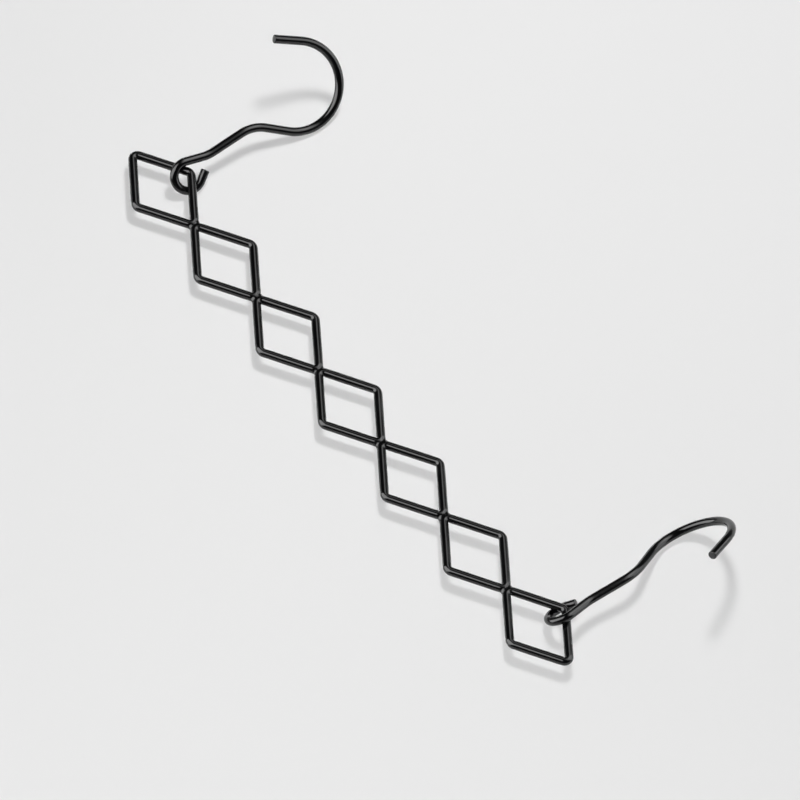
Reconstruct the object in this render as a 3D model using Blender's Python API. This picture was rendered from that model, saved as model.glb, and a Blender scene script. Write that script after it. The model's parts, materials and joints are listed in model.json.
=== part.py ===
"""Cascading hanger of black coated steel wire, lying on a flat surface.

Seven diamond rings are bent from round wire and welded corner to corner into
one flat chain. A hook with a round bowl hangs by its open eye on the upper
corner of each end ring. The chain runs along X, the hooks point towards +Y,
and everything rests on Z = 0. Lengths are in metres.
"""

import math

import bmesh
import bpy
from mathutils import Matrix, Vector

# The wire and the room that is kept between separate pieces
WIRE_DIAMETER = 0.0042
CLEARANCE = 0.0003
WIRE_SIDE_STEPS = 4
BEND_STEP = math.radians(10.0)

# One diamond ring, measured along the middle of its wire
RING_COUNT = 7
RING_SIDE = 0.02975
RING_END_ANGLE = math.radians(65.3)
END_BEND_RADIUS = 0.0022
SIDE_BEND_RADIUS = 0.0032

# The weld between two rings: each corner is pressed flat and a bead joins them
WELD_FLAT_DEPTH = 0.0012
WELD_THICKNESS = 0.0009
WELD_WIDTH = 0.0054
WELD_HEIGHT = 0.0035
WELD_EDGE_ROUND = 0.00025
WELD_EDGE_STEPS = 2
WELD_SEGMENTS = 24

# The hook's flat outline, from the free end of its eye to its tip
EYE_RADIUS = 0.007
EYE_TURN = math.radians(233.5)
EYE_STUB = 0.0059
EYE_LEAD = 0.0092
LEAD_BEND_RADIUS = 0.01775
LEAD_BEND = math.radians(17.4)
NECK_LENGTH = 0.0165
KINK_RADIUS = 0.0181
KINK_TURN = math.radians(40.5)
SHANK_LENGTH = 0.0117
BOWL_RADIUS = 0.02155
BOWL_TURN = math.radians(184.5)
TIP_LENGTH = 0.0142
END_CHAMFER = 0.0004

# How the hooks lie: leaning from plumb about the neck, and turned on the surface
LEFT_LEAN = math.radians(-45.7)
LEFT_TURN = math.radians(-0.3)
RIGHT_LEAN = math.radians(48.2)
RIGHT_TURN = math.radians(-3.5)

# Where the eye's middle lies from the ring's sharp corner, as shares of the
# play that the wire has in the eye, and how high the chain's wire is seated
LEFT_EYE_SHARES = (0.25, -0.82)
RIGHT_EYE_SHARES = (0.36, -0.98)
SEAT_CLEARANCE = 0.00045
SETTLING_STEPS = 20

# The coating, and how the meshes are merged and shaded
COAT_COLOUR = (0.012, 0.012, 0.013, 1.0)
COAT_ROUGHNESS = 0.22
WELD_COLOUR = (0.016, 0.016, 0.017, 1.0)
WELD_ROUGHNESS = 0.3
MERGE_SHARE = 0.001
SHARP_ANGLE = math.radians(40.0)

WIRE_RADIUS = WIRE_DIAMETER / 2
RING_HALF_LENGTH = RING_SIDE * math.cos(RING_END_ANGLE / 2)
RING_HALF_WIDTH = RING_SIDE * math.sin(RING_END_ANGLE / 2)
CHAIN_HEIGHT = WIRE_RADIUS + WIRE_DIAMETER + SEAT_CLEARANCE
EYE_PLAY = EYE_RADIUS - WIRE_DIAMETER


def corner_arc(before, corner, after, radius):
    """Points of the arc that rounds a corner of the ring."""
    to_before = (before - corner).normalized()
    to_after = (after - corner).normalized()
    half_angle = to_before.angle(to_after) / 2
    middle = (to_before + to_after).normalized()
    centre = corner + middle * (radius / math.sin(half_angle))
    start = corner + to_before * (radius / math.tan(half_angle)) - centre
    turn = math.pi - 2 * half_angle
    steps = max(2, math.ceil(turn / BEND_STEP))
    sense = math.copysign(1.0, to_before.cross(to_after))
    points = []
    for step in range(steps + 1):
        turned = start.copy()
        turned.rotate(Matrix.Rotation(-sense * turn * step / steps, 2))
        points.append(centre + turned)
    return points


def ring_path():
    """The ring's closed centreline, with its long diagonal along X."""
    corners = [
        Vector((-RING_HALF_LENGTH, 0)),
        Vector((0, RING_HALF_WIDTH)),
        Vector((RING_HALF_LENGTH, 0)),
        Vector((0, -RING_HALF_WIDTH)),
    ]
    radii = [END_BEND_RADIUS, SIDE_BEND_RADIUS, END_BEND_RADIUS, SIDE_BEND_RADIUS]
    points = []
    for index, corner in enumerate(corners):
        before = corners[index - 1]
        after = corners[(index + 1) % len(corners)]
        points += corner_arc(before, corner, after, radii[index])
    return points


def ring_reach():
    """How far the outside of a ring's end corner lies from the ring's middle."""
    inset = END_BEND_RADIUS * (1 / math.sin(RING_END_ANGLE / 2) - 1)
    return RING_HALF_LENGTH - inset + WIRE_RADIUS


def ring_pitch():
    """Distance between the middles of neighbouring rings."""
    flat = ring_reach() - WELD_FLAT_DEPTH
    return 2 * (flat + CLEARANCE) + WELD_THICKNESS


def walk(heading, moves):
    """Points along straight runs and arcs. A move is (length, turn): a straight
    run has no turn, and an arc gives its radius as its length."""
    point = Vector((0, 0))
    points = [point]
    for length, turn in moves:
        along = Vector((math.cos(heading), math.sin(heading)))
        if turn == 0:
            point = point + along * length
            points.append(point)
            continue
        side = math.copysign(1.0, turn)
        to_centre = Vector((-along.y, along.x)) * (length * side)
        centre = point + to_centre
        steps = math.ceil(abs(turn) / BEND_STEP)
        for step in range(1, steps + 1):
            spoke = -to_centre
            spoke.rotate(Matrix.Rotation(turn * step / steps, 2))
            points.append(centre + spoke)
        point = points[-1]
        heading += turn
    return points


def hook_path():
    """The hook's centreline from its eye's free end to its tip. The eye's
    middle is at the start of the coordinates, and the neck runs along X."""
    heading = LEAD_BEND - EYE_TURN
    along = Vector((math.cos(heading), math.sin(heading)))
    eye_middle = along * EYE_STUB + Vector((-along.y, along.x)) * EYE_RADIUS
    moves = [
        (EYE_STUB, 0),
        (EYE_RADIUS, EYE_TURN),
        (EYE_LEAD, 0),
        (LEAD_BEND_RADIUS, -LEAD_BEND),
        (NECK_LENGTH, 0),
        (KINK_RADIUS, KINK_TURN),
        (SHANK_LENGTH, 0),
        (BOWL_RADIUS, -BOWL_TURN),
        (TIP_LENGTH, 0),
    ]
    return [point - eye_middle for point in walk(heading, moves)]


def tube_mesh(name, points, closed):
    """Round wire along flat points, as a mesh. Open wire has filled ends with
    a small chamfer."""
    radii = [1.0] * len(points)
    if not closed:
        first = points[0] + (points[1] - points[0]).normalized() * END_CHAMFER
        last = points[-1] + (points[-2] - points[-1]).normalized() * END_CHAMFER
        points = [points[0], first, *points[1:-1], last, points[-1]]
        end_radius = 1.0 - END_CHAMFER / WIRE_RADIUS
        radii = [end_radius, *[1.0] * (len(points) - 2), end_radius]
    curve = bpy.data.curves.new(name, "CURVE")
    curve.dimensions = "3D"
    curve.bevel_depth = WIRE_RADIUS
    curve.bevel_resolution = WIRE_SIDE_STEPS
    curve.use_fill_caps = not closed
    spline = curve.splines.new("POLY")
    spline.points.add(len(points) - 1)
    for spline_point, place, radius in zip(spline.points, points, radii):
        spline_point.co = (place.x, place.y, 0.0, 1.0)
        spline_point.radius = radius
    spline.use_cyclic_u = closed
    guide = bpy.data.objects.new(name + "_guide", curve)
    mesh = bpy.data.meshes.new_from_object(guide)
    mesh.name = name
    bpy.data.objects.remove(guide)
    bpy.data.curves.remove(curve)
    return mesh


def cut_flat(mesh, side):
    """Press one end corner of a ring flat: side is 1 for +X and -1 for -X."""
    shape = bmesh.new()
    shape.from_mesh(mesh)
    place = Vector((side * (ring_reach() - WELD_FLAT_DEPTH), 0, 0))
    cut = bmesh.ops.bisect_plane(
        shape,
        geom=shape.verts[:] + shape.edges[:] + shape.faces[:],
        plane_co=place,
        plane_no=Vector((side, 0, 0)),
        clear_outer=True,
    )
    rim = [item for item in cut["geom_cut"] if isinstance(item, bmesh.types.BMEdge)]
    bmesh.ops.contextual_create(shape, geom=rim)
    bmesh.ops.recalc_face_normals(shape, faces=shape.faces)
    shape.to_mesh(mesh)
    shape.free()


def finish_mesh(mesh, material):
    """Weld loose points, turn the faces outwards, shade smooth, give the material."""
    shape = bmesh.new()
    shape.from_mesh(mesh)
    bmesh.ops.remove_doubles(shape, verts=shape.verts, dist=WIRE_RADIUS * MERGE_SHARE)
    bmesh.ops.recalc_face_normals(shape, faces=shape.faces)
    shape.to_mesh(mesh)
    shape.free()
    mesh.materials.clear()
    mesh.materials.append(material)
    mesh.shade_smooth()
    mesh.set_sharp_from_angle(angle=SHARP_ANGLE)


def coat(name, colour, roughness):
    """Glossy coating on steel wire."""
    material = bpy.data.materials.new(name)
    material.use_nodes = True
    shader = material.node_tree.nodes["Principled BSDF"]
    shader.inputs["Base Color"].default_value = colour
    shader.inputs["Roughness"].default_value = roughness
    shader.inputs["Metallic"].default_value = 0.0
    material.diffuse_color = colour
    return material


def add_object(name, mesh, place):
    """Put a mesh into the scene under its piece's name."""
    piece = bpy.data.objects.new(name, mesh)
    piece.matrix_world = place
    bpy.context.scene.collection.objects.link(piece)
    return piece


def add_ring(index):
    """One ring of the chain, flat where a weld joins it to the next."""
    name = f"ring_{index + 1}"
    mesh = tube_mesh(name, ring_path(), closed=True)
    if index > 0:
        cut_flat(mesh, -1)
    if index < RING_COUNT - 1:
        cut_flat(mesh, 1)
    finish_mesh(mesh, coat(name + "_coat", COAT_COLOUR, COAT_ROUGHNESS))
    along = (index - (RING_COUNT - 1) / 2) * ring_pitch()
    return add_object(name, mesh, Matrix.Translation((along, 0, CHAIN_HEIGHT)))


def weld_profile():
    """Half the bead's section, from one middle round the rim to the other, as
    pairs of a place along X and a distance from the middle."""
    edge = WELD_THICKNESS / 2 - WELD_EDGE_ROUND
    rim = WELD_WIDTH / 2 - WELD_EDGE_ROUND
    left = []
    for step in range(WELD_EDGE_STEPS + 1):
        angle = math.pi - math.pi / 2 * step / WELD_EDGE_STEPS
        along = WELD_EDGE_ROUND * math.cos(angle) - edge
        left.append((along, WELD_EDGE_ROUND * math.sin(angle) + rim))
    right = [(-along, out) for along, out in reversed(left)]
    return [(-WELD_THICKNESS / 2, 0.0), *left, *right, (WELD_THICKNESS / 2, 0.0)]


def add_weld(index):
    """The bead between two rings: an oval disc with a rounded rim."""
    name = f"weld_{index + 1}"
    shape = bmesh.new()
    profile = [shape.verts.new((along, out, 0)) for along, out in weld_profile()]
    outline = [shape.edges.new(pair) for pair in zip(profile, profile[1:])]
    bmesh.ops.spin(
        shape,
        geom=profile + outline,
        cent=(0, 0, 0),
        axis=(1, 0, 0),
        angle=math.tau,
        steps=WELD_SEGMENTS,
        use_merge=True,
    )
    oval = Matrix.Diagonal((1.0, 1.0, WELD_HEIGHT / WELD_WIDTH, 1.0))
    bmesh.ops.transform(shape, matrix=oval, verts=shape.verts)
    mesh = bpy.data.meshes.new(name)
    shape.to_mesh(mesh)
    shape.free()
    finish_mesh(mesh, coat(name + "_coat", WELD_COLOUR, WELD_ROUGHNESS))
    along = (index + 1 - RING_COUNT / 2) * ring_pitch()
    return add_object(name, mesh, Matrix.Translation((along, 0, CHAIN_HEIGHT)))


def hook_attitude(lean, turn, rise):
    """How a hook is turned: its neck runs along +Y, climbing by rise, and its
    flat outline leans from plumb about the neck."""
    plumb = Matrix(((0, 0, -1), (1, 0, 0), (0, -1, 0)))
    leaning = Matrix.Rotation(lean, 3, "Y") @ plumb
    climbing = Matrix.Rotation(rise, 3, "X") @ leaning
    return Matrix.Rotation(turn, 3, "Z") @ climbing


def settled_hook(lean, turn):
    """The attitude in which the eye and the bowl both touch the surface, and
    the height of the eye's middle above it."""
    path = [Vector((point.x, point.y, 0)) for point in hook_path()]
    eye = [point for point in path if point.length < EYE_RADIUS + CLEARANCE]
    bowl = [point for point in path if point.length > EYE_RADIUS + BOWL_RADIUS]
    rise = 0.0
    for _ in range(SETTLING_STEPS):
        attitude = hook_attitude(lean, turn, rise)
        eye_low = min((attitude @ point).z for point in eye)
        lowest = min((attitude @ point for point in bowl), key=lambda place: place.z)
        rise += (eye_low - lowest.z) / lowest.y
    return attitude, WIRE_RADIUS - min(eye_low, lowest.z)


def add_hook(name, ring, lean, turn, eye_shares):
    """One hook, with its own origin in the middle of its eye and its own Z
    along the eye, which is the line that it swings about."""
    attitude, height = settled_hook(lean, turn)
    corner = ring.location + Vector((0, RING_HALF_WIDTH, 0))
    middle = Vector((
        corner.x + eye_shares[0] * EYE_PLAY,
        corner.y + eye_shares[1] * EYE_PLAY,
        height,
    ))
    mesh = tube_mesh(name, hook_path(), closed=False)
    finish_mesh(mesh, coat(name + "_coat", COAT_COLOUR, COAT_ROUGHNESS))
    return add_object(name, mesh, Matrix.Translation(middle) @ attitude.to_4x4())


def centre_on_floor(pieces):
    """Shift everything so that the middle of its box is over the origin."""
    bpy.context.view_layer.update()
    places = [piece.matrix_world @ vert.co for piece in pieces for vert in piece.data.vertices]
    low = Vector(min(place[axis] for place in places) for axis in range(3))
    high = Vector(max(place[axis] for place in places) for axis in range(3))
    shift = Vector((-(low.x + high.x) / 2, -(low.y + high.y) / 2, -low.z))
    for piece in pieces:
        piece.location += shift
    bpy.context.view_layer.update()


def main():
    """Clear the scene and build the hanger."""
    for old in list(bpy.data.objects):
        bpy.data.objects.remove(old)
    rings = [add_ring(index) for index in range(RING_COUNT)]
    welds = [add_weld(index) for index in range(RING_COUNT - 1)]
    left_hook = add_hook("left_hook", rings[0], LEFT_LEAN, LEFT_TURN, LEFT_EYE_SHARES)
    right_hook = add_hook("right_hook", rings[-1], RIGHT_LEAN, RIGHT_TURN, RIGHT_EYE_SHARES)
    centre_on_floor([*rings, *welds, left_hook, right_hook])


main()
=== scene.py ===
# %% [markdown]
# A cascading hanger is a flat chain of seven diamond rings, bent from 4 mm steel
# wire, welded corner to corner and coated in glossy black. A wire hook hangs on
# each end ring. It lies here on a pale surface under soft studio light.
#
# The engineering model is loaded first, as a fixed frame. It already has every
# piece at its real size and place, so this script only gives the pieces their
# fine surface and finish, and never moves them.

# %% Load the frame
import json
from math import cos, pi, radians, sin, tan

import bpy
import numpy as np
from mathutils import Matrix, Vector


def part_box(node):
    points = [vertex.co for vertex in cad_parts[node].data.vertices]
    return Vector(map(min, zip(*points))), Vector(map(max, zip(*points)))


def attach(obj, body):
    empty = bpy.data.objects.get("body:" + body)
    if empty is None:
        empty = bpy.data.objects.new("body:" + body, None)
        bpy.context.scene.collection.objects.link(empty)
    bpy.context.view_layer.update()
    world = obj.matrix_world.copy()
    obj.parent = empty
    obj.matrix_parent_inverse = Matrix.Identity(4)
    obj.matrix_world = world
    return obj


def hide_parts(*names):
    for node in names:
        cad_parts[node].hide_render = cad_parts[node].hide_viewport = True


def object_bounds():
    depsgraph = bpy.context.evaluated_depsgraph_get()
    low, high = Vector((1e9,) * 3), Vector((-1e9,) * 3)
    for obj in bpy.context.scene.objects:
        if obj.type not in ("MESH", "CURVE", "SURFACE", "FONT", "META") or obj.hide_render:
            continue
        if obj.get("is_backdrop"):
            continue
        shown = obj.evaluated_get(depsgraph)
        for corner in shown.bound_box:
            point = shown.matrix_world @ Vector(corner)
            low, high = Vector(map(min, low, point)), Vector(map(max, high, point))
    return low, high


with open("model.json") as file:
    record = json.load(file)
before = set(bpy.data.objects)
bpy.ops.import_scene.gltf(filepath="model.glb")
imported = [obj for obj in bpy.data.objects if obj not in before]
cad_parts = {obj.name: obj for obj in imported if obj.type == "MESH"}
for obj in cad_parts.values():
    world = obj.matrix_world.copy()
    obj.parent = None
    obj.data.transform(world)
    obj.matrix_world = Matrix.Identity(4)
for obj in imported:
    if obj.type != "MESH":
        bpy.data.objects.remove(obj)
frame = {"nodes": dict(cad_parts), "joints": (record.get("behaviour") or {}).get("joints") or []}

MM_PER_M = 1000

cad_box = [list(corner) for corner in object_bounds()]
print("frame pieces:", ", ".join(sorted(frame["nodes"])))

# %% [markdown]
# The frame's own numbers place everything that follows. The inner rings are cut
# alike at both ends, so the middles of their boxes give the chain's pitch, and
# a ring's thickness gives the wire's. Only what a box can't say is written
# here: the ring's side, its angle and the radii of its bends.

# %% The chain's driving sizes
RING_COUNT = 7
MIDDLE_RING = (RING_COUNT + 1) / 2
RING_SIDE = 0.02975
RING_END_ANGLE = radians(65.3)
END_BEND_RADIUS = 0.0022
SIDE_BEND_RADIUS = 0.0032


def middle_of(node):
    """The middle of a frame piece's box."""
    low, high = (np.array(corner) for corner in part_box(node))
    return (low + high) / 2


ring_box = [np.array(corner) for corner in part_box("ring_4")]
WIRE_RADIUS = float(ring_box[1][2] - ring_box[0][2]) / 2
PITCH = float(middle_of("ring_6")[0] - middle_of("ring_2")[0]) / (6 - 2)
CHAIN_MIDDLE = middle_of("ring_4")
print(f"wire {2 * WIRE_RADIUS * MM_PER_M:.2f} mm, rings every {PITCH * MM_PER_M:.2f} mm")

# %% [markdown]
# Bent wire is straight runs and round bends in one plane, as it leaves the
# bending machine. A curve object with a bevel could draw it, but then the
# wire's section couldn't change along the way. So the middle line is worked
# out as arrays: along a bend, the place moves by the bend's radius times the
# change of (sin heading, -cos heading), which is exact.

# %% The middle line of bent wire
BEND_STEP = radians(4)
RUN_STEP = 0.0025


def follow(moves, heading=0.0):
    """Places, headings and bends along flat wire. A move is (radius or length, turn).
    A straight run adds length * (cos heading, sin heading). A bend adds radius *
    side * (sin h - sin h0, cos h0 - cos h) while h goes from h0 to h0 + turn."""
    start = np.zeros(2)
    places, headings, bends = [start[None]], [np.array([heading])], [np.zeros(1)]
    for size, turn in moves:
        if turn == 0:
            share = np.linspace(0, 1, max(2, round(size / RUN_STEP)) + 1)[1:, None]
            places.append(start + share * size * np.array([cos(heading), sin(heading)]))
            headings.append(np.full(len(share), heading))
            bends.append(np.zeros(len(share)))
        else:
            side = np.sign(turn)
            along = heading + turn * np.linspace(0, 1, round(abs(turn) / BEND_STEP) + 2)[1:]
            swing = np.stack([np.sin(along) - sin(heading), cos(heading) - np.cos(along)], 1)
            places.append(start + size * side * swing)
            headings.append(along)
            bends.append(np.full(len(along), side / size))
            heading += turn
        start = places[-1][-1]
    return np.concatenate(places), np.concatenate(headings), np.concatenate(bends)


def ring_moves():
    """A ring's moves, from the middle of the bend at its -X corner, once round.
    A bend between two sides takes radius * tan(half its turn) off each."""
    end_turn, side_turn = pi - RING_END_ANGLE, RING_END_ANGLE
    run = RING_SIDE - END_BEND_RADIUS * tan(end_turn / 2) - SIDE_BEND_RADIUS * tan(side_turn / 2)
    half_end = (END_BEND_RADIUS, -end_turn / 2)
    half_ring = [half_end, (run, 0), (SIDE_BEND_RADIUS, -side_turn), (run, 0), half_end]
    return half_ring * 2


ring_places, ring_headings, ring_bends = follow(ring_moves(), heading=pi / 2)
ring_places[:, 0] -= (ring_places[:, 0].min() + ring_places[:, 0].max()) / 2
ring_gap = np.abs(ring_places[0] - ring_places[-1]).max()
print(f"a ring's middle line closes to {ring_gap * MM_PER_M:.6f} mm")

# %% [markdown]
# A real wire isn't perfectly round or straight. A tight bend flattens it a
# little across the bend, and hand and machine leave it a few hundredths of a
# millimetre off its line. Both are small, yet they are what makes a highlight
# on real wire waver, so they belong in the shape and not only in the material.

# %% A surface round the middle line
WIRE_SIDES = 48
BEND_FLATTENING = 0.035
FLATTENING_REACH = 0.0015
UNEVENNESS = 0.00003
WAVE_COUNT = 4
OPEN_WAVE_REACH = 1.3
LEAST_STEP = 1e-7


def smooth_along(values, way, reach, closed):
    """Values averaged along the wire with a bell-shaped weight of the given reach."""
    total = way[-1]
    gap = np.abs(way[:, None] - way[None])
    if closed:
        gap = np.minimum(gap, total - gap)
    width = np.gradient(way)
    weight = np.exp(-((gap / reach) ** 2)) * width[None]
    return (weight * values[None]).sum(1) / weight.sum(1)


def waver(way, seed, closed):
    """A small smooth offset along the wire: sine waves with seeded phases. On a closed
    wire they fit the way round. On an open one they needn't, so they are longer."""
    luck = np.random.default_rng(seed)
    waves = np.arange(1, WAVE_COUNT + 1)[:, None]
    phase = luck.uniform(0, 2 * pi, (WAVE_COUNT, 1))
    size = luck.normal(0, 1, (WAVE_COUNT, 1)) / waves
    reach = way[-1] if closed else way[-1] * OPEN_WAVE_REACH
    return UNEVENNESS * (size * np.sin(2 * pi * waves * way[None] / reach + phase)).sum(0)


def wire_surface(places, headings, bends, radii, seed, closed):
    """Grid of points round flat wire: place + radius * (flat * cos a * side + sin a * up).
    Side is (-sin heading, cos heading), up is out of the wire's plane, a goes round,
    and flat is 1 less a share of how sharply the wire bends there."""
    steps = np.linalg.norm(np.diff(places, axis=0), axis=1)
    way = np.concatenate([[0], np.cumsum(np.maximum(steps, LEAST_STEP))])
    sharpness = smooth_along(np.abs(bends), way, FLATTENING_REACH, closed) * WIRE_RADIUS
    flat = (1 - BEND_FLATTENING * sharpness)[:, None]
    side = np.stack([-np.sin(headings), np.cos(headings)], 1)
    middle = places + waver(way, seed, closed)[:, None] * side
    rise = waver(way, seed + 1, closed)
    around = np.linspace(0, 2 * pi, WIRE_SIDES, endpoint=False)[None]
    across = radii[:, None] * np.cos(around)
    out = np.empty((len(places), WIRE_SIDES, 3))
    out[..., :2] = middle[:, None] + (flat * across)[..., None] * side[:, None]
    out[..., 2] = rise[:, None] + radii[:, None] * np.sin(around)
    pattern = np.empty_like(out)
    pattern[..., 0] = way[:, None]
    pattern[..., 1] = across
    pattern[..., 2] = radii[:, None] * np.sin(around)
    return out, pattern


flattened = BEND_FLATTENING * WIRE_RADIUS / END_BEND_RADIUS
print(f"a bend of {END_BEND_RADIUS * MM_PER_M:.2f} mm flattens the wire by {flattened:.1%}")

# %% [markdown]
# A grid of points becomes a mesh by joining each point to its neighbours. Where
# the wire closes on itself, the last row joins the first by counting round, so
# there is no seam to merge. An open wire ends in a fan of triangles round one
# pole at each end. The pattern coordinates go along as an attribute: the way
# along the wire, and the place across it.

# %% From grid to mesh
def grid_faces(rows, columns, closed):
    """Corner numbers of the four-sided faces of a grid that closes round its columns."""
    row = np.arange(rows if closed else rows - 1)[:, None]
    column = np.arange(columns)[None]
    after_row, after_column = (row + 1) % rows, (column + 1) % columns
    corners = [row * columns + column, after_row * columns + column,
               after_row * columns + after_column, row * columns + after_column]
    return np.stack(np.broadcast_arrays(*corners), -1).reshape(-1, 4)


def end_fans(rows, columns):
    """The pole and the rim of the fan that closes each end of an open grid. The two
    poles are the points that come after the grid's own, and both fans face outwards."""
    first = np.arange(columns)
    last = first + (rows - 1) * columns
    return [(rows * columns, first), (rows * columns + 1, last[::-1])]


def make_piece(name, points, faces, fans=(), pattern=None, end_share=None):
    """A mesh object at the origin from points, four-sided faces and fans of triangles."""
    mesh = bpy.data.meshes.new(name)
    everything = [tuple(face) for face in faces.tolist()]
    for pole, rim in fans:
        everything += [(pole, int(a), int(b)) for a, b in zip(rim, np.roll(rim, -1))]
    mesh.from_pydata(points.reshape(-1, 3).tolist(), [], everything)
    mesh.shade_smooth()
    if pattern is not None:
        layer = mesh.attributes.new("wire_way", "FLOAT_VECTOR", "POINT")
        layer.data.foreach_set("vector", pattern.astype(np.float32).ravel())
    if end_share is not None:
        layer = mesh.attributes.new("cut_end", "FLOAT", "POINT")
        layer.data.foreach_set("value", end_share.astype(np.float32).ravel())
    piece = bpy.data.objects.new(name, mesh)
    bpy.context.scene.collection.objects.link(piece)
    return piece


def print_piece(piece):
    """One line on a finished piece: its faces and its size."""
    corners = np.array([corner[:] for corner in piece.bound_box])
    sides = " x ".join(f"{side:.2f}" for side in np.ptp(corners, axis=0) * MM_PER_M)
    print(f"{piece.name}: {len(piece.data.polygons)} faces, {sides} mm")


# %% [markdown]
# The rings come first. Each is one closed wire, and all seven have the same
# outline, so one function makes them and only the seed of their unevenness
# differs. In the frame the rings' corners are pressed flat for the weld beads;
# here they keep their round corners, which sink a little way into each other,
# as they did on the real chain when the weld was squeezed.

# %% The seven rings
RING_SEED_STEP = 10


def add_ring(number):
    """One round wire ring in the place of its frame piece."""
    middle = CHAIN_MIDDLE + np.array([(number - MIDDLE_RING) * PITCH, 0, 0])
    line = ring_places[:-1], ring_headings[:-1], ring_bends[:-1]
    radii = np.full(len(line[0]), WIRE_RADIUS)
    points, pattern = wire_surface(*line, radii, number * RING_SEED_STEP, True)
    name = f"ring_{number}_wire"
    piece = make_piece(name, points + middle, grid_faces(*points.shape[:2], True), pattern=pattern)
    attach(piece, "chain")
    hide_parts(f"ring_{number}")
    return piece


rings = [add_ring(number + 1) for number in range(RING_COUNT)]
print_piece(rings[0])

# %% [markdown]
# Where two rings meet they are resistance welded: squeezed together and melted
# for an instant, so their corners flow into one small waisted neck. A turned
# disc would look like a washer between them. The neck's surface is a fillet
# that rolls round the meeting place instead. In every direction round the
# chain's line, it is an arc that touches both corners, so it has no edge where
# it ends, and small seeded lumps keep it from looking machined.

# %% The weld beads
NECK_HALF_WIDTH = 0.00305
NECK_HALF_HEIGHT = 0.00185
CORNER_SINK = float(ring_places[:, 0].max()) + WIRE_RADIUS - PITCH / 2
WELD_ROWS = 25
WELD_SIDES = 48
NECK_SPREAD = (0.96, 1.03)
WELD_LUMPS = 0.00005
LUMPS_ROUND = (2, 3, 5)
LUMPS_ALONG = (3, 5)
WELD_OVERLAP = 0.00002


def weld_surface(seed):
    """Grid of points round X: distance = neck + fillet - sqrt(fillet^2 - x^2). The neck is
    an ellipse. The fillet is (neck^2 - sink * (2 * corner - sink)) / (2 * (corner - neck)),
    which touches the round corner on each side. The corner's radius is between the bend's
    outside and the wire's, and sink is how far it reaches past the meeting place."""
    luck = np.random.default_rng(seed)
    around = np.linspace(0, 2 * pi, WELD_SIDES, endpoint=False)
    level, upright = np.cos(around) / NECK_HALF_WIDTH, np.sin(around) / NECK_HALF_HEIGHT
    neck = 1 / np.sqrt(level ** 2 + upright ** 2)
    neck *= luck.uniform(*NECK_SPREAD)
    outside = END_BEND_RADIUS + WIRE_RADIUS
    corner = 1 / (np.cos(around) ** 2 / outside + np.sin(around) ** 2 / WIRE_RADIUS)
    fillet = (neck ** 2 - CORNER_SINK * (2 * corner - CORNER_SINK)) / (2 * (corner - neck))
    touch = (corner - CORNER_SINK) * fillet / (corner + fillet)
    share = np.sin(np.linspace(-pi / 2, pi / 2, WELD_ROWS))[:, None]
    along = share * touch[None]
    distance = neck + fillet - np.sqrt(fillet ** 2 - along ** 2)
    waves = sum(luck.normal() / k * np.sin(k * around + luck.uniform(0, 2 * pi))
                for k in LUMPS_ROUND)
    ripple = np.sin(share * luck.uniform(*LUMPS_ALONG) + luck.uniform(0, 2 * pi))
    distance += WELD_LUMPS * (1 - share ** 2) * (waves[None] + ripple) - WELD_OVERLAP
    return np.stack([along, distance * np.cos(around), distance * np.sin(around)], -1)


def add_weld(number):
    """The neck between ring number and the next, closed at both ends inside the wires."""
    middle = CHAIN_MIDDLE + np.array([(number + 0.5 - MIDDLE_RING) * PITCH, 0, 0])
    grid = weld_surface(number) + middle
    size = grid.shape[:2]
    poles = np.array([middle, middle])
    poles[:, 0] = grid[[0, -1]].mean(1)[:, 0]
    points = np.concatenate([grid.reshape(-1, 3), poles])
    piece = make_piece(f"weld_{number}_neck", points, grid_faces(*size, False), end_fans(*size))
    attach(piece, "chain")
    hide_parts(f"weld_{number}")
    return piece


welds = [add_weld(number + 1) for number in range(RING_COUNT - 1)]
print(f"corners sink {CORNER_SINK * MM_PER_M:.2f} mm past the middle of each weld")
print_piece(welds[0])

# %% [markdown]
# Both hooks are bent on the same machine, from one drawing: a stub, an open
# eye, a slight bend, the neck, a kink, the big round bowl and a straight tip.
# The moves are written once, starting at the eye's free end. The middle of the
# eye is the hook's own zero, because the hook swings about it.

# %% The hook's outline
EYE_STUB = 0.0059
EYE_RADIUS = 0.007
EYE_TURN = radians(233.5)
EYE_LEAD = 0.0092
LEAD_BEND_RADIUS = 0.01775
LEAD_BEND = radians(17.4)
NECK_LENGTH = 0.0165
KINK_RADIUS = 0.0181
KINK_TURN = radians(40.5)
SHANK_LENGTH = 0.0117
BOWL_RADIUS = 0.02155
BOWL_TURN = radians(184.5)
TIP_LENGTH = 0.0142

HOOK_MOVES = [
    (EYE_STUB, 0),
    (EYE_RADIUS, EYE_TURN),
    (EYE_LEAD, 0),
    (LEAD_BEND_RADIUS, -LEAD_BEND),
    (NECK_LENGTH, 0),
    (KINK_RADIUS, KINK_TURN),
    (SHANK_LENGTH, 0),
    (BOWL_RADIUS, -BOWL_TURN),
    (TIP_LENGTH, 0),
]
first_heading = LEAD_BEND - EYE_TURN
hook_places, hook_headings, hook_bends = follow(HOOK_MOVES, first_heading)
hook_places -= EYE_STUB * np.array([cos(first_heading), sin(first_heading)])
hook_places -= EYE_RADIUS * np.array([-sin(first_heading), cos(first_heading)])
hook_length = np.linalg.norm(np.diff(hook_places, axis=0), axis=1).sum()
print(f"hook wire is {hook_length * MM_PER_M:.0f} mm long")

# %% [markdown]
# The wire is cropped to length, and tumbling before the coating takes off the
# burr, so each end is a flat face with a soft rim. Extra rows at the ends of
# the grid give that: rows that shrink along a quarter circle for the rim, then
# rows across the face down to a pole.

# %% The cut ends
END_EDGE_RADIUS = 0.0005
END_DOME = 0.00012
EDGE_ROWS = 8
FACE_ROWS = 5
BARE_RIM = 0.75


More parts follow.
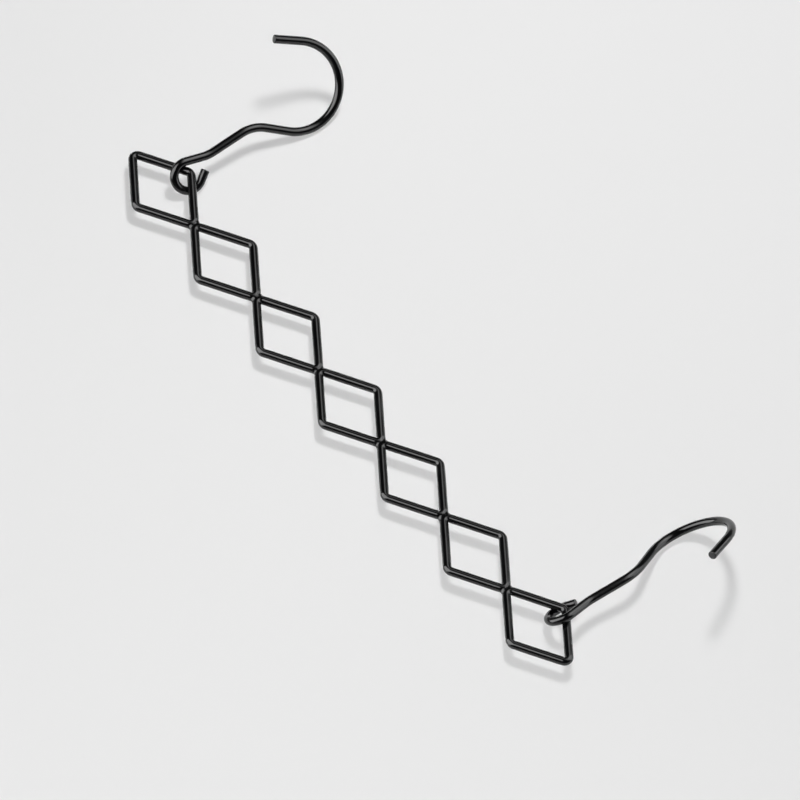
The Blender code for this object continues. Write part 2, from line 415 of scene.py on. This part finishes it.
def end_rows():
    """From the pole outwards: how far each row lies inside the end, its radius, and 1
    or 0 for whether it is cut face. The face is domed by the square of the radius. The
    rim is a quarter circle, and the first part of it counts as cut face too."""
    face = WIRE_RADIUS - END_EDGE_RADIUS
    radius_in = np.linspace(0, face, FACE_ROWS + 1)[1:]
    depth_in = END_DOME * (radius_in / face) ** 2
    angle = np.linspace(pi / 2, 0, EDGE_ROWS + 1)[1:]
    depth_rim = END_DOME + END_EDGE_RADIUS * (1 - np.sin(angle))
    radius_rim = face + END_EDGE_RADIUS * np.cos(angle)
    depth = np.concatenate([depth_in, depth_rim])
    radius = np.concatenate([radius_in, radius_rim])
    return depth, radius, np.concatenate([np.ones(FACE_ROWS), np.cos(angle) < BARE_RIM])


def with_ends(places, headings, bends):
    """The wire's rows with those of both ends put on, and how far each is cut face."""
    depth, radius, face = end_rows()
    count, rim = len(depth), depth[-1]
    ahead = np.stack([np.cos(headings), np.sin(headings)], 1)
    start = places[0] + depth[:, None] * ahead[0]
    finish = (places[-1] - depth[:, None] * ahead[-1])[::-1]
    past_start = np.linalg.norm(places - places[0], axis=1) > rim
    before_finish = np.linalg.norm(places - places[-1], axis=1) > rim
    kept = past_start & before_finish
    first, last = np.full(count, headings[0]), np.full(count, headings[-1])
    all_places = np.concatenate([start, places[kept], finish])
    all_headings = np.concatenate([first, headings[kept], last])
    all_bends = np.concatenate([np.zeros(count), bends[kept], np.zeros(count)])
    radii = np.concatenate([radius, np.full(kept.sum(), WIRE_RADIUS), radius[::-1]])
    share = np.concatenate([face, np.zeros(kept.sum()), face[::-1]])
    return all_places, all_headings, all_bends, radii, share


print(f"each end has {EDGE_ROWS + FACE_ROWS} rows of its own")

# %% [markdown]
# The frame says where each hook lies: its joint's place is the eye's middle,
# and the joint's axis is the line through the eye, square to the hook's plane.
# Only its turn about that line is left, and the neck's direction on the table
# settles it. The hook's own X is that direction, tipped until it is square to
# the axis.

# %% The two hooks
LEFT_TURN = radians(-0.3)
RIGHT_TURN = radians(-3.5)
LEFT_SEED = 101
RIGHT_SEED = 202


def hook_axes(axis, turn):
    """The hook's own X, Y and Z in the world: Z against the joint's axis, X along the neck."""
    upward = -np.array(axis)
    along = np.array([-sin(turn), cos(turn), 0.0])
    along[2] = -(along @ upward) / upward[2]
    along /= np.linalg.norm(along)
    return np.array([along, np.cross(upward, along), upward])


def add_hook(side, turn, seed):
    """One hook, from its outline to its place on the end ring."""
    joint = next(joint for joint in frame["joints"] if joint["name"] == f"{side}_hook_swing")
    *line, radii, share = with_ends(hook_places, hook_headings, hook_bends)
    grid, pattern = wire_surface(*line, radii, seed, False)
    size = grid.shape[:2]
    poles = np.array([[*hook_places[0], 0], [*hook_places[-1], 0]])
    pole_pattern = np.array([[0, 0, 0], [pattern[-1, 0, 0], 0, 0]])
    points = np.concatenate([grid.reshape(-1, 3), poles])
    piece = make_piece(
        f"{side}_hook_wire",
        points @ hook_axes(joint["axis"], turn) + joint["pos_m"],
        grid_faces(*size, False),
        end_fans(*size),
        np.concatenate([pattern.reshape(-1, 3), pole_pattern]),
        np.concatenate([np.repeat(share, size[1]), [1, 1]]),
    )
    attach(piece, f"{side}_hook_body")
    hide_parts(f"{side}_hook")
    return piece


hooks = [add_hook("left", LEFT_TURN, LEFT_SEED), add_hook("right", RIGHT_TURN, RIGHT_SEED)]
for hook in hooks:
    print_piece(hook)

# %% [markdown]
# Materials are sums of patterns, so shader maths reads best as plain
# expressions. This small class wraps an output socket: adding or multiplying
# makes the Math node for it. Any other node comes from one method that sets its
# options first and then its sockets.

# %% Shader maths as expressions
class Wave:
    """An output socket of a material, with arithmetic."""

    def __init__(self, tree, socket):
        self.tree, self.socket = tree, socket

    def node(self, kind, options=None, output=0, **inputs):
        """A node of a kind, its options, then its sockets, by name or by number as _0."""
        made = self.tree.nodes.new(kind)
        for option, value in (options or {}).items():
            setattr(made, option, value)
        for key, value in inputs.items():
            place = made.inputs[int(key[1:]) if key[1:].isdigit() else key.replace("_", " ")]
            if isinstance(value, Wave):
                self.tree.links.new(value.socket, place)
            else:
                place.default_value = value
        return Wave(self.tree, made.outputs[output])

    def maths(self, operation, first, second):
        """A Math node on two values."""
        return self.node("ShaderNodeMath", {"operation": operation}, _0=first, _1=second)

    def __add__(self, other):
        return self.maths("ADD", self, other)

    def __mul__(self, other):
        return self.maths("MULTIPLY", self, other)

    def between(self, low, high, from_value=0.0, to_value=1.0):
        """Maps low..high to two values, with a smooth start and end."""
        return self.node("ShaderNodeMapRange", {"interpolation_type": "SMOOTHSTEP"}, Value=self,
                         From_Min=low, From_Max=high, To_Min=from_value, To_Max=to_value)

    def colours(self, dark, light):
        """A mix of two colours by this value."""
        return self.node("ShaderNodeMix", {"data_type": "RGBA"}, output=2,
                         _0=self, _6=dark, _7=light)


def new_material(name):
    """An empty node material: the material, its Principled shader and a Wave to start from."""
    material = bpy.data.materials.new(name)
    material.use_nodes = True
    tree = material.node_tree
    return material, tree.nodes["Principled BSDF"], Wave(tree, None)


def plug(shader, **inputs):
    """Sets or links a shader's sockets by name."""
    for key, value in inputs.items():
        place = shader.inputs[key.replace("_", " ")]
        if isinstance(value, Wave):
            value.tree.links.new(value.socket, place)
        else:
            place.default_value = value


print("shader maths ready")

# %% [markdown]
# The coating is glossy black paint, about a tenth of a millimetre thick, baked
# on. It isn't a mirror: it has a fine ripple like orange peel, it is a touch
# duller in patches, and the lines of the drawn wire below still show through
# along its length. The ripple reads Object coordinates. The drawn lines follow
# the wire, so they read the wire's own way along and place across, scaled so
# that each line is long and thin. Cut ends hold less paint and look greyer.

# %% The black coating
COAT_DARK = (0.0014, 0.0014, 0.0015, 1)
COAT_LIGHT = (0.0026, 0.0026, 0.0028, 1)
END_DARK = (0.012, 0.012, 0.0125, 1)
COAT_IOR = 1.55
WIRE_ROUGHNESS, WIRE_RIPPLE = 0.11, 0.28
WELD_ROUGHNESS, WELD_RIPPLE = 0.16, 1.0
PATCH_SCALE = 90
PATCH_RANGE = (0.3, 0.7)
PATCH_GLOSSY, PATCH_DULL = 0.82, 1.25
PEEL_SCALE = 620
PEEL_DEPTH = 0.00001
DRAWN_LINES = (35, 2600, 2600)
LINE_RANGE = (0.45, 0.7)
LINE_HEIGHT = 0.35
LINE_ROUGHNESS = 0.03
GRAIN_SCALE = 2400
GRAIN_HEIGHT = 2.5
END_ROUGHNESS = 0.22


def black_coat(name, roughness, ripple, has_lines=False, has_ends=False):
    """Gloss black on steel: dark base, uneven gloss, orange peel and drawn lines."""
    material, shader, start = new_material(name)
    place = start.node("ShaderNodeTexCoord", output="Object")
    patches = start.node("ShaderNodeTexNoise", Vector=place, Scale=PATCH_SCALE, Detail=3.0)
    height = start.node("ShaderNodeTexNoise", Vector=place, Scale=PEEL_SCALE,
                        Detail=1.5, Roughness=0.45)
    rough = patches.between(*PATCH_RANGE, roughness * PATCH_GLOSSY, roughness * PATCH_DULL)
    colour = patches.colours(COAT_DARK, COAT_LIGHT)
    if has_lines:
        way = start.node("ShaderNodeAttribute", {"attribute_name": "wire_way"}, output="Vector")
        squeezed = start.node("ShaderNodeVectorMath", {"operation": "MULTIPLY"},
                              _0=way, _1=DRAWN_LINES)
        lines = start.node("ShaderNodeTexNoise", Vector=squeezed, Scale=1.0, Detail=2.0)
        height = height + lines * LINE_HEIGHT
        rough = rough + lines.between(*LINE_RANGE, 0.0, LINE_ROUGHNESS)
    if has_ends:
        end = start.node("ShaderNodeAttribute", {"attribute_name": "cut_end"}, output="Fac")
        grain = start.node("ShaderNodeTexNoise", Vector=place, Scale=GRAIN_SCALE, Detail=3.0)
        height = height + end * grain * GRAIN_HEIGHT
        rough = rough + end * END_ROUGHNESS
        colour = end.colours(colour, END_DARK)
    bump = start.node("ShaderNodeBump", Strength=ripple, Distance=PEEL_DEPTH, Height=height)
    plug(shader, Base_Color=colour, Roughness=rough, Normal=bump, IOR=COAT_IOR)
    return material


ring_coat = black_coat("ring_coating", WIRE_ROUGHNESS, WIRE_RIPPLE, has_lines=True)
hook_coat = black_coat("hook_coating", WIRE_ROUGHNESS, WIRE_RIPPLE, has_lines=True, has_ends=True)
weld_coat = black_coat("weld_coating", WELD_ROUGHNESS, WELD_RIPPLE)
for pieces, finish in ((rings, ring_coat), (hooks, hook_coat), (welds, weld_coat)):
    for piece in pieces:
        piece.data.materials.append(finish)
print("coatings:", ring_coat.name, hook_coat.name, weld_coat.name)

# %% [markdown]
# The surface below is a sheet of matt card, far larger than the view, so that
# its edge never shows. It lies a hair below the hooks' lowest wire. Card has
# almost no gloss and only the faintest cloudiness in its tone. Far from the
# object, where the lamps don't reach, it fades into the tone of the backdrop,
# so that a low view shows no dark floor and no horizon. Only the camera, gloss
# and glass see the fade, so the far floor throws no light of its own.

# %% The floor
FLOOR_HALF_SIZE = 30.0
FLOOR_TONE = (0.80, 0.80, 0.80, 1)
FLOOR_TONE_LIGHT = (0.83, 0.83, 0.83, 1)
CLOUD_SCALE = 3.0
CARD_ROUGHNESS = 0.9
CARD_SHEEN = 0.2
BACKDROP_TONE = (0.80, 0.80, 0.80, 1)
FADE_START = 0.33
FADE_END = 1.1


def ray_kinds(start):
    """1 or 0 each for what the camera sees itself, by way of gloss, and through glass."""
    kinds = ("Camera", "Glossy", "Transmission")
    return [start.node("ShaderNodeLightPath", output=f"Is {kind} Ray") for kind in kinds]


def matt_card():
    """Card with faint clouds that fades into the backdrop's tone, where it is seen."""
    material, shader, start = new_material("matt_card")
    place = start.node("ShaderNodeTexCoord", output="Object")
    clouds = start.node("ShaderNodeTexNoise", Vector=place, Scale=CLOUD_SCALE, Detail=1.0)
    tone = clouds.colours(FLOOR_TONE, FLOOR_TONE_LIGHT)
    plug(shader, Base_Color=tone, Roughness=CARD_ROUGHNESS, Specular_IOR_Level=CARD_SHEEN)
    away = start.node("ShaderNodeVectorMath", {"operation": "LENGTH"}, output="Value", _0=place)
    by_camera, by_gloss, through_glass = ray_kinds(start)
    seen = by_camera + by_gloss + through_glass
    share = away.between(FADE_START, FADE_END) * seen
    card = Wave(start.tree, shader.outputs["BSDF"])
    backdrop = start.node("ShaderNodeEmission", Color=BACKDROP_TONE)
    surface = start.node("ShaderNodeMixShader", _0=share, _1=card, _2=backdrop)
    output = start.tree.nodes["Material Output"]
    start.tree.links.new(surface.socket, output.inputs["Surface"])
    return material


def add_floor():
    """A large square just under the lowest point of the hooks."""
    lowest = min(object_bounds()[0][2], 0.0)
    square = np.array([[-1, -1, 0], [1, -1, 0], [1, 1, 0], [-1, 1, 0]])
    corners = square * FLOOR_HALF_SIZE + [0, 0, lowest]
    floor = make_piece("pale_floor", corners, np.array([[0, 1, 2, 3]]))
    floor.data.materials.append(matt_card())
    floor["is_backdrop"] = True
    return lowest


floor_height = add_floor()
print(f"floor at {floor_height * MM_PER_M:.3f} mm")

# %% [markdown]
# The camera looks down from a steep angle and from far away, because the
# photograph shows almost no perspective: a long lens from seventeen metres.

# %% The camera
VIEW_AZIMUTH = radians(53.93)
VIEW_ELEVATION = radians(58.05)
VIEW_DISTANCE = 17.167
VIEW_AIM = Vector((0.00399, -0.01958, 0.0))
LENS = 1650
SENSOR = 36
NEAREST, FURTHEST = 1.0, 200.0

level = cos(VIEW_ELEVATION)
back = Vector((sin(VIEW_AZIMUTH) * level, -cos(VIEW_AZIMUTH) * level, sin(VIEW_ELEVATION)))
camera_data = bpy.data.cameras.new("view")
camera_data.lens, camera_data.sensor_width = LENS, SENSOR
camera_data.clip_start, camera_data.clip_end = NEAREST, FURTHEST
camera = bpy.data.objects.new("view", camera_data)
camera.location = VIEW_AIM + back * VIEW_DISTANCE
camera.rotation_euler = (-back).to_track_quat("-Z", "Y").to_euler()
bpy.context.scene.collection.objects.link(camera)
bpy.context.scene.camera = camera
print("camera at", [round(v, 2) for v in camera.location])

# %% [markdown]
# Black gloss shows nothing but what it mirrors, so its light comes from soft
# panels that are placed by their reflections: a bright one on the left, a
# dimmer one on the right, a faint one behind, and a dark room between them.
# They only work in reflections. The card below is lit by two lamps that no
# reflection shows: a small round one high behind, which throws the soft-edged
# shadows, and a broad fill from the front without any shadow of its own.

# %% The lamps
RIGHTWARD = Vector((cos(VIEW_AZIMUTH), sin(VIEW_AZIMUTH), 0))
AWAY = Vector((-sin(VIEW_AZIMUTH), cos(VIEW_AZIMUTH), 0))
UP = Vector((0, 0, 1))
PANEL_DISTANCE = 25.0
PANELS = [
    # name, side, zenith and depth in degrees, both half angles in degrees, brightness
    ("left_panel", -1, 51.6, -5, (25.0, 38.0), 3.9),
    ("right_panel", 1, 66.2, 7.6, (26.1, 48.9), 2.2),
    ("back_panel", 1, 18.5, 26, (19.9, 14.6), 1.66),
]
KEY_PLACE = Vector((-0.34, 0.41, 0.90))
KEY_DIAMETER = 0.23
KEY_POWER = 4.1
FILL_PLACE = Vector((1.87, -2.5, 2.41))
FILL_SIZE = 0.8
FILL_POWER = 167.0


def add_lamp(name, shape, size, energy, axes, place):
    """An area lamp of a shape, with its size each way, power, three axes and place."""
    lamp = bpy.data.lights.new(name, "AREA")
    lamp.shape, lamp.size, lamp.energy = shape, size[0], energy
    if shape == "RECTANGLE":
        lamp.size_y = size[1]
    holder = bpy.data.objects.new(name, lamp)
    turned = Matrix(axes).transposed().to_4x4()
    turned.translation = place
    holder.matrix_world = turned
    holder.visible_camera = False
    bpy.context.scene.collection.objects.link(holder)
    return holder


def axes_towards(facing):
    """Three axes for a lamp that shines back along facing: its X lies away from the camera."""
    facing = facing.normalized()
    upright = facing.cross(AWAY).normalized()
    return upright.cross(facing), upright, facing


def add_panel(name, side, zenith, depth, half_angles, brightness):
    """A soft panel for reflections only. Its direction leans by zenith from straight up
    towards one side, and by depth away from the camera. Brightness 1 mirrors as white."""
    zenith, depth = radians(zenith), radians(depth)
    aside = RIGHTWARD * side * sin(zenith) + UP * cos(zenith)
    direction = aside * cos(depth) + AWAY * sin(depth)
    size = [2 * PANEL_DISTANCE * tan(radians(half)) for half in half_angles]
    power = brightness * pi * size[0] * size[1]
    place = direction * PANEL_DISTANCE
    panel = add_lamp(name, "RECTANGLE", size, power, axes_towards(direction), place)
    panel.visible_diffuse = False


for panel in PANELS:
    add_panel(*panel)
key_axes, fill_axes = axes_towards(KEY_PLACE), axes_towards(FILL_PLACE)
key_lamp = add_lamp("key_lamp", "DISK", [KEY_DIAMETER], KEY_POWER, key_axes, KEY_PLACE)
fill_lamp = add_lamp("fill_lamp", "SQUARE", [FILL_SIZE], FILL_POWER, fill_axes, FILL_PLACE)
key_lamp.visible_glossy = fill_lamp.visible_glossy = False
fill_lamp.data.use_shadow = False

# %% [markdown]
# Past the card there is a dark room, a little paler towards the foot of its
# walls. The camera never sees it, because it sees the backdrop's tone there.
# Gloss sees that tone too, but only just above the horizon, and further up the
# wire mirrors the dark room. That is what keeps it black beside the panels.

# %% The surroundings
ROOM_DARK = (0.01, 0.01, 0.01, 1)
ROOM_WALL = (0.12, 0.12, 0.12, 1)
BACKDROP_TOP = 0.04
WALL_TOP = 0.5

world = bpy.data.worlds.new("studio")
world.use_nodes = True
sky = Wave(world.node_tree, None)
direction = sky.node("ShaderNodeTexCoord", output="Generated")
height = sky.node("ShaderNodeSeparateXYZ", output=2, Vector=direction)
room = height.between(BACKDROP_TOP, WALL_TOP).colours(ROOM_WALL, ROOM_DARK)
by_camera, by_gloss, through_glass = ray_kinds(sky)
near_horizon = height.between(0.0, BACKDROP_TOP, 1.0, 0.0)
seen = by_camera + (by_gloss + through_glass) * near_horizon
tone = seen.colours(room, BACKDROP_TONE)
background = world.node_tree.nodes["Background"]
world.node_tree.links.new(tone.socket, background.inputs["Color"])
bpy.context.scene.world = world
bpy.context.scene.view_settings.view_transform = "Standard"
print("surroundings:", world.name)

# %% Check and finish
finished_box = [list(corner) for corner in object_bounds()]
most = np.abs(np.array(cad_box) - np.array(finished_box)).max()
print(f"visual box differs by at most {most * MM_PER_M:.3f} mm")
